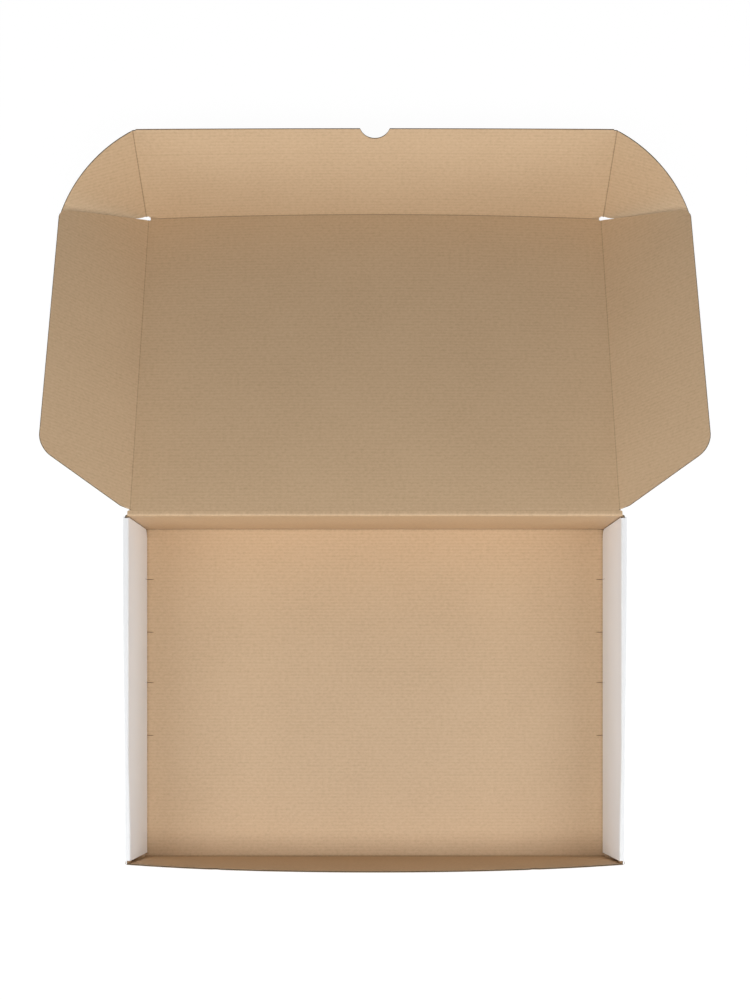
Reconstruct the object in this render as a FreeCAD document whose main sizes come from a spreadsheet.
import FreeCAD, Part
import Sketcher
import math
import os
import re

# Open roll-end mailer box, made from one sheet of fine-flute corrugated board.
# Millimetres, +Z up, +Y towards the lid. The origin is the middle of the base's underside.
# The tray stands on the table with its lid leaning back until the far edge touches the table too.

doc = FreeCAD.newDocument("OpenMailer")


# ---- Sizes ---------------------------------------------------------------------------------

sizes = doc.addObject("Spreadsheet::Sheet", "Sizes")

size_rows = [
    ("board", 1.5, "thickness of the corrugated board"),
    ("inner_half", 240.8, "half the inside width, to the inner wall's face"),
    ("depth_half", 172.6, "half the inside depth, at the base"),
    ("side_top", 103.6, "height of the rolled side walls"),
    ("tab_play", 0.3, "space on each side of an end tab inside a rolled wall"),
    ("foot_play", 0.3, "space between the base and what stands over it"),
    ("head_play", 0.3, "space between an end tab and the strip over it"),
    ("front_drop", 0.2, "how much lower the front wall is than the side walls"),
    ("hinge_rise", 1.4, "how much higher the lid crease's axis is than the side walls"),
    ("fold_round", 1.3, "outside radius of a folded edge"),
    ("end_tab_length", 96.6, "how far the end tabs reach along the side walls"),
    ("front_lean", 2.0, "how far the front wall's top corners lean in"),
    ("bow_radius", 4910.0, "radius of the bowed top edge of the front wall"),
    ("wall_end_play", 0.4, "space between the inner side walls and the back wall"),
    ("front_slit", 4.0, "dark slit between the inner side walls and the front wall"),
    ("strip_rear_gap", 5.0, "open end of the roll beside the back wall"),
    ("strip_front_gap", 7.2, "open end of the roll beside the front wall"),
    ("slot_play", 0.4, "free space round a lock tab in its slot"),
    ("lock_back", 53.6, "from the back wall to the nearer lock tabs"),
    ("lock_length", 54.8, "length of a lock tab"),
    ("lock_pitch", 108.8, "from one lock tab to the next"),
    ("lock_drop", 0.2, "how far the lock tabs stop above the table"),
    ("relief_radius", 9.0, "rounded relief at the inner walls' rear bottom corner"),
    ("nick_centre", 155.0, "sideways place of the two nicks in the front wall's top"),
    ("nick_half", 6.0, "half the length of a nick"),
    ("nick_depth", 2.0, "depth of a nick"),
    ("lid_play", 3.35, "how much shorter the lid is than the tray, so that its tuck flap goes in"),
    ("hinge_gap", 0.5, "gap behind the rounded edge of the lid's crease"),
    ("fold_gap", 0.3, "gap behind the rounded edge of the tuck and ear creases"),
    ("dust_gap", 0.55, "gap behind the rounded edge of the dust flaps' creases"),
    ("dust_inset", 3.1, "dust flap crease's axis, in from the inner walls"),
    ("ear_inset", 1.2, "ear crease's axis, in from the inner walls"),
    ("lid_rear_over", 0.8, "how far the lid's rear corners reach over the inner walls"),
    ("notch_out", 1.5, "bottom of the small V at the lid's rear corners, out from the crease"),
    ("notch_along", 2.5, "bottom of the small V at the lid's rear corners, from the lid crease"),
    ("side_fold_from", 3.2, "start of a dust flap's crease, from the lid crease"),
    ("side_fold_back", 4.2, "end of a dust flap's crease, back from the tuck crease"),
    ("dust_corner_back", 6.45, "inner front corner of a dust flap, back from the tuck crease"),
    ("tuck_fold_in", 1.3, "end of the tuck flap's crease, in from the dust flap crease"),
    ("tuck_play", 3.0, "how much shorter the tuck flap is than the side walls' height"),
    ("ear_fold_from", 3.6, "start of an ear's crease, from the tuck crease"),
    ("ear_fold_back", 1.6, "end of an ear's crease, back from the tuck flap's free edge"),
    ("tuck_corner", 2.1, "corner cut of the tuck flap's free edge"),
    ("thumb_half", 14.7, "half the width of the thumb notch"),
    ("thumb_radius", 15.4, "radius of the thumb notch"),
    ("dust_play", 0.5, "how much narrower a dust flap is than the side walls' height"),
    ("dust_start_along", 3.9, "start of a dust flap's long chamfer, from the lid crease"),
    ("dust_start_across", 12.0, "the same point, out from the flap's crease"),
    ("heel_along", 29.3, "end of the long chamfer, from the lid crease"),
    ("heel_back", 13.7, "the same point, in from the flap's free edge"),
    ("heel_run", 18.95, "length of the rounding after it, along the flap"),
    ("heel_round", 20.0, "radius of that rounding"),
    ("toe_run", 12.9, "length of the rounding at the front corner, along the flap"),
    ("toe_back", 8.6, "the same rounding's depth, in from the flap's free edge"),
    ("toe_along", 39.6, "front end of that rounding, back from the tuck crease"),
    ("toe_round", 14.0, "radius of that rounding"),
    ("tip_along", 3.5, "inner end of the slanted front edge, back from the tuck crease"),
    ("tip_across", 8.0, "the same point, out from the flap's crease"),
    ("ear_tail_across", 91.5, "end of an ear's lower edge, out from its crease"),
    ("ear_tail_along", 35.0, "the same point, from the tuck crease"),
    ("ear_round", 138.0, "radius of an ear's curved edge"),
    ("tuck_angle", 71.9, "rest angle of the tuck flap, from the lid's plane, degrees"),
    ("dust_angle", 42.0, "rest angle of the dust flaps, from the lid's plane, degrees"),
    ("ear_angle", 29.0, "rest angle of the ears, from the tuck flap's plane, degrees"),
]

named = {}
for row, (alias, amount, note) in enumerate(size_rows, start=1):
    sizes.set(f"A{row}", alias)
    sizes.set(f"B{row}", str(amount))
    sizes.set(f"C{row}", note)
    sizes.setAlias(f"B{row}", alias)
    named[alias] = amount
doc.recompute()

# Sizes that follow from those above: what fits in or over something takes that piece's size
# and a named space.
derived = {
    "wall_foot": "board + foot_play",
    "tab_in": "inner_half + board + tab_play",
    "tab_out": "inner_half + 2*board + tab_play",
    "outer_in": "inner_half + 2*board + 2*tab_play",
    "outer": "inner_half + 3*board + 2*tab_play",
    "tab_top": "side_top - board - head_play",
    "front_top": "side_top - front_drop",
    "hinge_height": "side_top + hinge_rise",
    "hinge_back": "depth_half + 0.5*board",
    "end_tab_end": "depth_half - end_tab_length",
    "wall_rear_end": "depth_half - wall_end_play",
    "wall_front_end": "depth_half - front_slit",
    "strip_rear_end": "depth_half - strip_rear_gap",
    "strip_front_end": "depth_half - strip_front_gap",
    "lock_rear_to": "depth_half - lock_back",
    "lock_rear_from": "depth_half - lock_back - lock_length",
    "lock_front_to": "depth_half - lock_back - lock_pitch",
    "lock_front_from": "depth_half - lock_back - lock_pitch - lock_length",
    "lid_length": "2*depth_half + 0.5*board - lid_play",
    "lid_half": "inner_half - dust_inset",
    "tuck_half": "inner_half - ear_inset",
    "lid_rear_half": "inner_half + lid_rear_over",
    "hinge_cut": "0.5*board + hinge_gap",
    "fold_cut": "0.5*board + fold_gap",
    "dust_cut": "0.5*board + dust_gap",
    "side_fold_to": "lid_length - side_fold_back",
    "tuck_fold_half": "lid_half - tuck_fold_in",
    "tuck_length": "side_top - tuck_play",
    "ear_fold_to": "tuck_length - ear_fold_back",
    "dust_width": "side_top - dust_play",
}


def number(text):
    """Work out a sum of worded lengths, such as 'inner_half + 2*board - slot_play'."""
    total = 0.0
    sign = 1.0
    for word in text.split():
        if word in ("+", "-"):
            sign = 1.0 if word == "+" else -1.0
            continue
        if word.startswith("-"):
            sign = -sign
            word = word[1:]
        product = sign
        for factor in word.split("*"):
            if factor in derived:
                product *= number(derived[factor])
            elif factor in named:
                product *= named[factor]
            else:
                product *= float(factor)
        total += product
        sign = 1.0
    return total


def bound(text):
    """Write the same sum as an expression that reads the sheet."""
    def cell(found):
        word = found.group(0)
        return f"({bound(derived[word])})" if word in derived else f"Sizes.{word}"
    return re.sub(r"[a-z_]+", cell, text)


# ---- Sketch and feature helpers --------------------------------------------------------------

def plane_of(body, role):
    """Find one of the body's own origin planes."""
    for item in body.Origin.OriginFeatures:
        if item.Role == role:
            return item
    raise ValueError(role)


def flat_sketch(body, name, role, height="0"):
    """Start a sketch on an origin plane, moved along the plane's normal by a worded height."""
    sketch = body.newObject("Sketcher::SketchObject", name)
    sketch.AttachmentSupport = (plane_of(body, role), [""])
    sketch.MapMode = "FlatFace"
    offset = FreeCAD.Vector(0, 0, number(height))
    sketch.AttachmentOffset = FreeCAD.Placement(offset, FreeCAD.Rotation())
    sketch.setExpression("AttachmentOffset.Base.z", bound(height))
    return sketch


def arc_between(start, end, radius, left):
    """Make the short arc from start to end; left says that its centre is on the left."""
    chord = end - start
    middle = (start + end) * 0.5
    normal = FreeCAD.Vector(-chord.y, chord.x, 0)
    normal.normalize()
    reach = math.sqrt(radius ** 2 - (chord.Length / 2) ** 2)
    centre = middle + normal * (reach if left else -reach)
    circle = Part.Circle(centre, FreeCAD.Vector(0, 0, 1), radius)
    first = start if left else end
    last = end if left else start
    angle_a = math.atan2(first.y - centre.y, first.x - centre.x)
    angle_b = math.atan2(last.y - centre.y, last.x - centre.x)
    if angle_b < angle_a:
        angle_b += 2 * math.pi
    return Part.ArcOfCircle(circle, angle_a, angle_b)


def outline(sketch, corners, arcs=None):
    """Draw a closed outline through worded corners.

    Every corner is held by its two distances from the origin. An edge named in arcs, by the
    number of the corner it leaves, is an arc with a worded radius and its centre on the left
    or the right of the way round.
    """
    arcs = arcs or {}
    points = [FreeCAD.Vector(number(x), number(y), 0) for x, y in corners]
    count = len(points)
    ends = []
    for place in range(count):
        start = points[place]
        end = points[(place + 1) % count]
        if place in arcs:
            radius, side = arcs[place]
            shape = arc_between(start, end, number(radius), side == "left")
            index = sketch.addGeometry(shape, False)
            ends.append((index, 1, 2) if side == "left" else (index, 2, 1))
        else:
            index = sketch.addGeometry(Part.LineSegment(start, end), False)
            ends.append((index, 1, 2))
    for place in range(count):
        here = ends[place]
        after = ends[(place + 1) % count]
        join = Sketcher.Constraint("Coincident", here[0], here[2], after[0], after[1])
        sketch.addConstraint(join)
    for place in range(count):
        index, first, _ = ends[place]
        for word, axis, text in (("across", "DistanceX", corners[place][0]),
                                 ("up", "DistanceY", corners[place][1])):
            rule = Sketcher.Constraint(axis, -1, 1, index, first, number(text))
            held = sketch.addConstraint(rule)
            sketch.renameConstraint(held, f"{word}_{place}")
            sketch.setExpression(f"Constraints.{word}_{place}", bound(text))
    for place, (radius, side) in arcs.items():
        rule = Sketcher.Constraint("Radius", ends[place][0], number(radius))
        held = sketch.addConstraint(rule)
        sketch.renameConstraint(held, f"round_{place}")
        sketch.setExpression(f"Constraints.round_{place}", bound(radius))
    return sketch


def pad(body, name, sketch, length):
    """Add material from the sketch along its plane's normal."""
    feature = body.newObject("PartDesign::Pad", name)
    feature.Profile = sketch
    feature.Length = number(length)
    feature.setExpression("Length", bound(length))
    sketch.Visibility = False
    doc.recompute()
    return feature


def pocket(body, name, sketch, length):
    """Take material away from the sketch against its plane's normal, and prove that it went."""
    before = body.Shape.Volume
    feature = body.newObject("PartDesign::Pocket", name)
    feature.Profile = sketch
    feature.Length = number(length)
    feature.setExpression("Length", bound(length))
    sketch.Visibility = False
    doc.recompute()
    if not body.Shape.Volume < before - 0.5:
        raise RuntimeError(f"{name} took nothing away")
    return feature


def flipped(text):
    """The same worded length, measured the other way."""
    if text == "0":
        return text
    words = text.split()
    words[0] = words[0][1:] if words[0].startswith("-") else "-" + words[0]
    swap = {"+": "-", "-": "+"}
    return " ".join(swap.get(word, word) for word in words)


def mirrored(corners):
    """The same corners on the other side of the Y axis, in the opposite order."""
    return [(flipped(x), y) for x, y in reversed(corners)]


# ---- Tray: base and rolled side walls --------------------------------------------------------
# One profile across the box: base, outer wall, flat top strip and inner wall on both sides.

floor = doc.addObject("PartDesign::Body", "FloorAndSides")
floor.Label = "Base with rolled side walls"

roll_right = [
    ("0", "0"),
    ("outer - fold_round", "0"),
    ("outer", "fold_round"),
    ("outer", "side_top - fold_round"),
    ("outer - fold_round", "side_top"),
    ("inner_half + fold_round", "side_top"),
    ("inner_half", "side_top - fold_round"),
    ("inner_half", "wall_foot"),
    ("inner_half + board", "wall_foot"),
    ("inner_half + board", "side_top - board"),
    ("outer_in", "side_top - board"),
    ("outer_in", "board"),
]
roll_profile = flat_sketch(floor, "RollProfile", "XZ_Plane", "-depth_half - board")
roll_left = mirrored(roll_right[1:])
outline(roll_profile, roll_right + roll_left,
        {1: ("fold_round", "left"), 3: ("fold_round", "left"), 5: ("fold_round", "left"),
         17: ("fold_round", "left"), 19: ("fold_round", "left"), 21: ("fold_round", "left")})
pad(floor, "Roll", roll_profile, "2*depth_half + 2*board")

# The inner walls stop short of the front and back walls, and the strips stop sooner still,
# so the dark ends of the rolls stay open as they are on the box.
for side, sign in (("Right", 1), ("Left", -1)):
    for end, strip, wall in (("Rear", "strip_rear_end", "wall_rear_end"),
                             ("Front", "-strip_front_end", "-wall_front_end")):
        edge = "depth_half + 4*board" if end == "Rear" else "-depth_half - 4*board"
        near, far = "inner_half - board", "tab_in"
        box = [(near, wall), (far, wall), (far, edge), (near, edge)]
        if sign < 0:
            box = [(flipped(x), y) for x, y in box]
        cut = flat_sketch(floor, f"WallEnd{side}{end}", "XY_Plane", "side_top + board")
        outline(cut, box)
        pocket(floor, f"WallEndCut{side}{end}", cut, "side_top - 0.5*foot_play")
        near, far = "inner_half - board", "outer_in"
        box = [(near, strip), (far, strip), (far, edge), (near, edge)]
        if sign < 0:
            box = [(flipped(x), y) for x, y in box]
        cut = flat_sketch(floor, f"StripEnd{side}{end}", "XY_Plane", "side_top + board")
        outline(cut, box)
        pocket(floor, f"StripEndCut{side}{end}", cut, "3*board")

# Slots through the base, and the lock tabs of the inner walls standing in them.
for side, sign in (("Right", 1), ("Left", -1)):
    for end, low, high in (("Rear", "lock_rear_from", "lock_rear_to"),
                           ("Front", "lock_front_from", "lock_front_to")):
        near, far = "inner_half - slot_play", "inner_half + board + slot_play"
        box = [(near, f"{low} - slot_play"), (far, f"{low} - slot_play"),
               (far, f"{high} + slot_play"), (near, f"{high} + slot_play")]
        if sign < 0:
            box = [(flipped(x), y) for x, y in box]
        cut = flat_sketch(floor, f"Slot{side}{end}", "XY_Plane", "board")
        outline(cut, box)
        pocket(floor, f"SlotCut{side}{end}", cut, "board")
        near, far = "inner_half", "inner_half + board"
        box = [(near, low), (far, low), (far, high), (near, high)]
        if sign < 0:
            box = [(flipped(x), y) for x, y in box]
        tab = flat_sketch(floor, f"LockTab{side}{end}", "XY_Plane", "lock_drop")
        outline(tab, box)
        pad(floor, f"LockTabPad{side}{end}", tab, "wall_foot + board - lock_drop")

# Rounded relief at the rear bottom corner of each inner wall, seen beside the back wall.
low = "board + 0.5*foot_play"
relief_corners = [
    ("wall_rear_end + board", low),
    ("wall_rear_end + board", "wall_foot + relief_radius"),
    ("wall_rear_end", "wall_foot + relief_radius"),
    ("wall_rear_end - relief_radius", low),
]
for side, face in (("Right", "inner_half + 1.5*board"), ("Left", "-inner_half + 0.5*board")):
    relief = flat_sketch(floor, f"RearRelief{side}", "YZ_Plane", face)
    outline(relief, relief_corners, {2: ("relief_radius + foot_play", "right")})
    pocket(floor, f"RearReliefCut{side}", relief, "2*board")


# ---- Tray: back wall with its end tabs -------------------------------------------------------

back = doc.addObject("PartDesign::Body", "BackWall")
back.Label = "Back wall with end tabs"

back_profile = flat_sketch(back, "BackProfile", "YZ_Plane", "-tab_in")
outline(back_profile, [("depth_half", "0.5*board"),
                       ("depth_half + board", "0.5*board"),
                       ("depth_half + board", "hinge_height"),
                       ("depth_half + 0.5*board", "hinge_height + 0.5*board"),
                       ("depth_half", "hinge_height")],
        {2: ("0.5*board", "left"), 3: ("0.5*board", "left")})
pad(back, "BackPanel", back_profile, "2*tab_in")

for side, sign in (("Right", 1), ("Left", -1)):
    corners = [("tab_in - board", "depth_half"), ("tab_in", "depth_half"),
               ("tab_in", "end_tab_end"), ("tab_out", "end_tab_end"),
               ("tab_out", "depth_half + board - fold_round"),
               ("tab_out - fold_round", "depth_half + board"),
               ("tab_in - board", "depth_half + board")]
    turn = "left"
    if sign < 0:
        corners = [(flipped(x), y) for x, y in corners]
        turn = "right"
    tab = flat_sketch(back, f"BackTab{side}", "XY_Plane", "wall_foot")
    outline(tab, corners, {4: ("fold_round", turn)})
    pad(back, f"BackTabPad{side}", tab, "tab_top - wall_foot")


# ---- Tray: front wall, straight at its foot and bowed at its top ------------------------------

front = doc.addObject("PartDesign::Body", "FrontWall")
front.Label = "Front wall with end tabs"


def front_section(name, height, lean, bowed):
    """One level of the front wall: the wall itself with an end tab turned back at each end."""
    face = f"-depth_half + {lean}"
    right = [("tab_in", face), ("tab_in", f"-end_tab_end + {lean}"),
             ("tab_out", f"-end_tab_end + {lean}"), ("tab_out", f"{face} - board + fold_round"),
             ("tab_out - fold_round", f"{face} - board")]
    left = mirrored(right)
    sketch = flat_sketch(front, name, "XY_Plane", height)
    arcs = {3: ("fold_round", "right"), 5: ("fold_round", "right")}
    if bowed:
        arcs[4] = ("bow_radius", "right")
        arcs[9] = ("bow_radius", "left")
    outline(sketch, right + left, arcs)
    return sketch


front_foot = front_section("FrontFoot", "board", "0*front_lean", False)
front_head = front_section("FrontHead", "front_top", "front_lean", True)
front_loft = front.newObject("PartDesign::AdditiveLoft", "FrontPanel")
front_loft.Profile = front_foot
front_loft.Sections = [front_head]
front_loft.Ruled = True
front_foot.Visibility = False
front_head.Visibility = False
doc.recompute()

# Two shallow nicks in the top edge, and the end tabs cut down to fit under the strips.
for side, sign in (("Right", 1), ("Left", -1)):
    low, high = "nick_centre - nick_half", "nick_centre + nick_half"
    face, back_of = "-depth_half + 4*board", "-depth_half - 8*board"
    box = [(low, face), (high, face), (high, back_of), (low, back_of)]
    if sign < 0:
        box = [(flipped(x), y) for x, y in box]
    cut = flat_sketch(front, f"Nick{side}", "XY_Plane", "front_top + board")
    outline(cut, box)
    pocket(front, f"NickCut{side}", cut, "nick_depth + board")
    low, high = "inner_half + board", "outer_in"
    face, back_of = "-end_tab_end + 4*board", "-strip_front_end - 1.5*board"
    box = [(low, face), (high, face), (high, back_of), (low, back_of)]
    if sign < 0:
        box = [(flipped(x), y) for x, y in box]
    cut = flat_sketch(front, f"TabHead{side}", "XY_Plane", "front_top + board")
    outline(cut, box)
    pocket(front, f"TabHeadCut{side}", cut, "front_top + board - tab_top")
    cut = flat_sketch(front, f"TabFoot{side}", "XY_Plane", "wall_foot")
    outline(cut, box)
    pocket(front, f"TabFootCut{side}", cut, "foot_play + 0.5*board")

tray = doc.addObject("Part::MultiFuse", "Tray")
tray.Label = "tray"
tray.Shapes = [floor, back, front]
tray.Refine = True
doc.recompute()


# ---- Flaps: each is a flat panel; a folded edge ends in a half-round nose on the crease's axis --

def flap_body(name, label):
    body = doc.addObject("PartDesign::Body", name)
    body.Label = label
    return body


def panel(body, name, corners, arcs=None):
    """A flat piece of board, centred on its sketch plane."""
    sketch = flat_sketch(body, name + "Outline", "XY_Plane", "-0.5*board")
    outline(sketch, corners, arcs)
    return pad(body, name, sketch, "board")


def nose_across(body, name, along, half):
    """A half-round edge that runs across, facing the far end."""
    sketch = flat_sketch(body, name + "Outline", "YZ_Plane", f"-{half}")
    outline(sketch, [(along, "-0.5*board"), (f"{along} + 0.5*board", "0"), (along, "0.5*board")],
            {0: ("0.5*board", "left"), 1: ("0.5*board", "left")})
    return pad(body, name, sketch, f"2*{half}")


def nose_along(body, name, across, sign, start, end):
    """A half-round edge that runs along one side of a panel."""
    corners = [(across, "-0.5*board"), (f"{across} + 0.5*board", "0"), (across, "0.5*board")]
    turn = "left"
    if sign < 0:
        corners = [(flipped(x), y) for x, y in corners]
        turn = "right"
    sketch = flat_sketch(body, name + "Outline", "XZ_Plane", f"-{end}")
    outline(sketch, corners, {0: ("0.5*board", turn), 1: ("0.5*board", turn)})
    return pad(body, name, sketch, f"{end} - {start}")


lid = flap_body("Lid", "lid_panel")
lid_right = [
    ("lid_rear_half", "hinge_cut"),
    ("lid_half + notch_out", "notch_along"),
    ("lid_half", "side_fold_from"),
    ("lid_half", "side_fold_to"),
    ("tuck_fold_half", "lid_length"),
]
panel(lid, "LidPanel", lid_right + mirrored(lid_right))
nose_across(lid, "LidFoldNose", "lid_length", "tuck_fold_half")
nose_along(lid, "LidNoseRight", "lid_half", 1, "side_fold_from", "side_fold_to")
nose_along(lid, "LidNoseLeft", "lid_half", -1, "side_fold_from", "side_fold_to")

tuck = flap_body("Tuck", "front_tuck_flap")
tuck_right = [
    ("tuck_fold_half", "fold_cut"),
    ("tuck_half", "ear_fold_from"),
    ("tuck_half", "ear_fold_to"),
    ("tuck_half - tuck_corner", "tuck_length"),
    ("thumb_half", "tuck_length"),
]
panel(tuck, "TuckPanel", tuck_right + mirrored(tuck_right), {4: ("thumb_radius", "right")})
nose_along(tuck, "TuckNoseRight", "tuck_half", 1, "ear_fold_from", "ear_fold_to")
nose_along(tuck, "TuckNoseLeft", "tuck_half", -1, "ear_fold_from", "ear_fold_to")


def sided(corners, arcs, sign):
    """Give a right-hand outline as it is, or turned over to the left."""
    if sign > 0:
        return corners, arcs
    turned = {"left": "right", "right": "left"}
    return ([(flipped(x), y) for x, y in corners],
            {place: (radius, turned[side]) for place, (radius, side) in arcs.items()})


dust_corners = [
    ("dust_cut", "side_fold_from"),
    ("dust_start_across", "dust_start_along"),
    ("dust_width - heel_back", "heel_along"),
    ("dust_width", "heel_along + heel_run"),
    ("dust_width", "lid_length - toe_along - toe_run"),
    ("dust_width - toe_back", "lid_length - toe_along"),
    ("tip_across", "lid_length - tip_along"),
    ("dust_cut", "lid_length - dust_corner_back"),
]
dust_arcs = {2: ("heel_round", "left"), 4: ("toe_round", "left")}
ear_corners = [
    ("fold_cut", "ear_fold_from"),
    ("ear_tail_across", "ear_tail_along"),
    ("fold_cut", "ear_fold_to"),
]
ear_arcs = {1: ("ear_round", "left")}

dusts = {}
ears = {}
for word, sign in (("right", 1), ("left", -1)):
    dust = flap_body("Dust" + word.title(), word + "_dust_flap")
    panel(dust, "DustPanel" + word.title(), *sided(dust_corners, dust_arcs, sign))
    dusts[word] = dust
    ear = flap_body("Ear" + word.title(), word + "_tuck_ear")
    panel(ear, "EarPanel" + word.title(), *sided(ear_corners, ear_arcs, sign))
    ears[word] = ear


# ---- Places: the lid leans back until its far edge lies on the table ---------------------------

def turned(axis, degrees):
    return FreeCAD.Placement(FreeCAD.Vector(0, 0, 0), FreeCAD.Rotation(axis, degrees))


across_axis = FreeCAD.Vector(1, 0, 0)
along_axis = FreeCAD.Vector(0, 1, 0)
no_turn = FreeCAD.Rotation()
drop = number("hinge_height - 0.5*board") / number("lid_length")
lean_back = math.degrees(math.asin(drop))
hinge = FreeCAD.Vector(0, number("hinge_back"), number("hinge_height"))
lid_place = FreeCAD.Placement(hinge, FreeCAD.Rotation(across_axis, -lean_back))
lid.Placement = lid_place
fold = FreeCAD.Placement(FreeCAD.Vector(0, number("lid_length"), 0), no_turn)
tuck_place = lid_place * fold * turned(across_axis, number("tuck_angle"))
tuck.Placement = tuck_place
for word, sign in (("right", 1), ("left", -1)):
    crease = FreeCAD.Placement(FreeCAD.Vector(sign * number("lid_half"), 0, 0), no_turn)
    dusts[word].Placement = lid_place * crease * turned(along_axis, -sign * number("dust_angle"))
    crease = FreeCAD.Placement(FreeCAD.Vector(sign * number("tuck_half"), 0, 0), no_turn)
    ears[word].Placement = tuck_place * crease * turned(along_axis, -sign * number("ear_angle"))
doc.recompute()


# ---- Proof and files ---------------------------------------------------------------------------

for item in doc.Objects:
    for state in item.State:
        if state in ("Invalid", "Error"):
            raise RuntimeError(f"{item.Name} is {state}")

nodes = [("tray", tray), ("lid_panel", lid), ("front_tuck_flap", tuck),
         ("right_dust_flap", dusts["right"]), ("left_dust_flap", dusts["left"]),
         ("right_tuck_ear", ears["right"]), ("left_tuck_ear", ears["left"])]
os.makedirs("parts", exist_ok=True)
for node, item in nodes:
    shape = item.Shape
    if not shape.isValid() or len(shape.Solids) != 1:
        raise RuntimeError(f"{node} is not one valid solid")
    shape.Solids[0].exportStep(f"parts/{node}.step")
    box = shape.BoundBox
    print(f"{node:16s} volume {shape.Volume:10.1f}  x {box.XMin:8.2f} {box.XMax:8.2f}"
          f"  y {box.YMin:8.2f} {box.YMax:8.2f}  z {box.ZMin:7.2f} {box.ZMax:7.2f}")
print(f"lid leans back {lean_back:.3f} degrees below level")
print(f"hinge axis y {hinge.y:.3f} z {hinge.z:.3f}")
print("tuck crease axis", tuck_place.Base)
for word in ("right", "left"):
    print(word, "dust crease axis at", dusts[word].Placement.Base, "ear", ears[word].Placement.Base)
